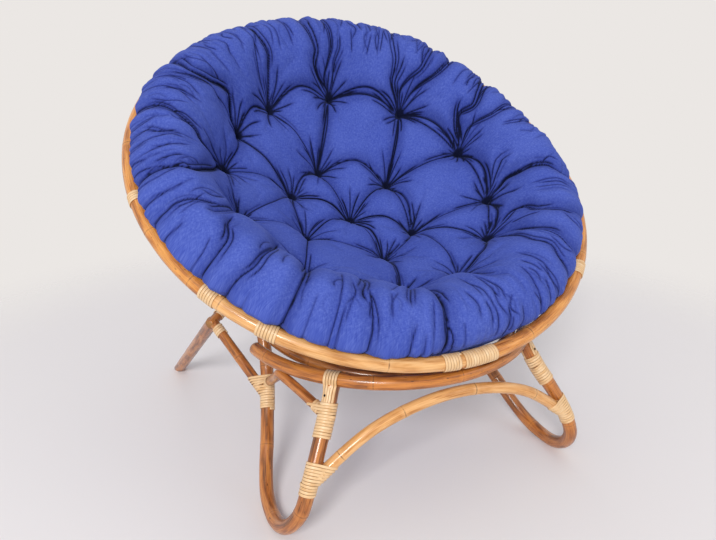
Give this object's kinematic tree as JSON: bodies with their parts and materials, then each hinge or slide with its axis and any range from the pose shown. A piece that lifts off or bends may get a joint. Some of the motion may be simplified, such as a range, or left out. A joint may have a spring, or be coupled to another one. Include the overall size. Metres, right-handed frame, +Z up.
{
  "type": "papasan chair",
  "caption": "Round rattan bowl chair: a tilted cage bowl with a tufted round cushion, laid on the ring of a low bent-pole stand.",
  "frame": {"origin": "on the floor, under the middle of the chair's box", "axes": "+X to the chair's left arm side as a viewer in front sees it on the right, +Y to the back, +Z up; the seat faces -Y"},
  "size_m": [1.1138, 1.0026, 1.0354],
  "materials": {
    "brown_rattan": "lacquered, satin",
    "orange_rattan": "lacquered, glossy",
    "pale_rattan": "lacquered, glossy",
    "cane_binding": "bare cane peel, satin",
    "blue_cotton": "woven cotton, matt"
  },
  "bodies": {
    "stand": {"seat_ring": "brown_rattan", "front_rail": "orange_rattan", "back_rail": "brown_rattan", "front_arch": "pale_rattan", "front_leg_loop_left": "brown_rattan", "back_leg_left": "brown_rattan", "side_brace_left": "brown_rattan", "inner_brace_left": "brown_rattan", "cane_front_post_saddle_left": "cane_binding", "cane_front_post_left": "cane_binding", "cane_back_post_left": "cane_binding", "cane_side_brace_left": "cane_binding", "cane_arch_left": "cane_binding", "front_leg_loop_right": "brown_rattan", "back_leg_right": "brown_rattan", "side_brace_right": "brown_rattan", "inner_brace_right": "brown_rattan", "cane_front_post_saddle_right": "cane_binding", "cane_front_post_right": "cane_binding", "cane_back_post_right": "cane_binding", "cane_side_brace_right": "cane_binding", "cane_arch_right": "cane_binding"},
    "bowl": {"rim_long_pole": "orange_rattan", "rim_short_pole": "pale_rattan", "base_hoop": "brown_rattan", "spoke_1": "brown_rattan", "spoke_2": "brown_rattan", "spoke_3": "brown_rattan", "spoke_4": "brown_rattan", "spoke_5": "brown_rattan", "spoke_6": "brown_rattan", "spoke_7": "brown_rattan", "spoke_8": "brown_rattan", "cane_spoke_1": "cane_binding", "cane_spoke_2": "cane_binding", "cane_spoke_3": "cane_binding", "cane_spoke_4": "cane_binding", "cane_spoke_5": "cane_binding", "cane_spoke_6": "cane_binding", "cane_spoke_7": "cane_binding", "cane_spoke_8": "cane_binding", "cane_rim_joint_left": "cane_binding", "cane_rim_joint_front": "cane_binding"},
    "cushion": {"cushion": "blue_cotton"}
  },
  "joints": [
    {"name": "bowl_tilt", "type": "hinge", "parent": "stand", "child": "bowl", "pos_m": [0, -0.18234, 0.89759], "axis": [-1, 0, 0], "range_deg": [0, 34.3]},
    {"name": "cushion_lift", "type": "slide", "parent": "bowl", "child": "cushion", "axis": [0, -0.5635, 0.8261], "range_m": [0, 0.35]}
  ]
}
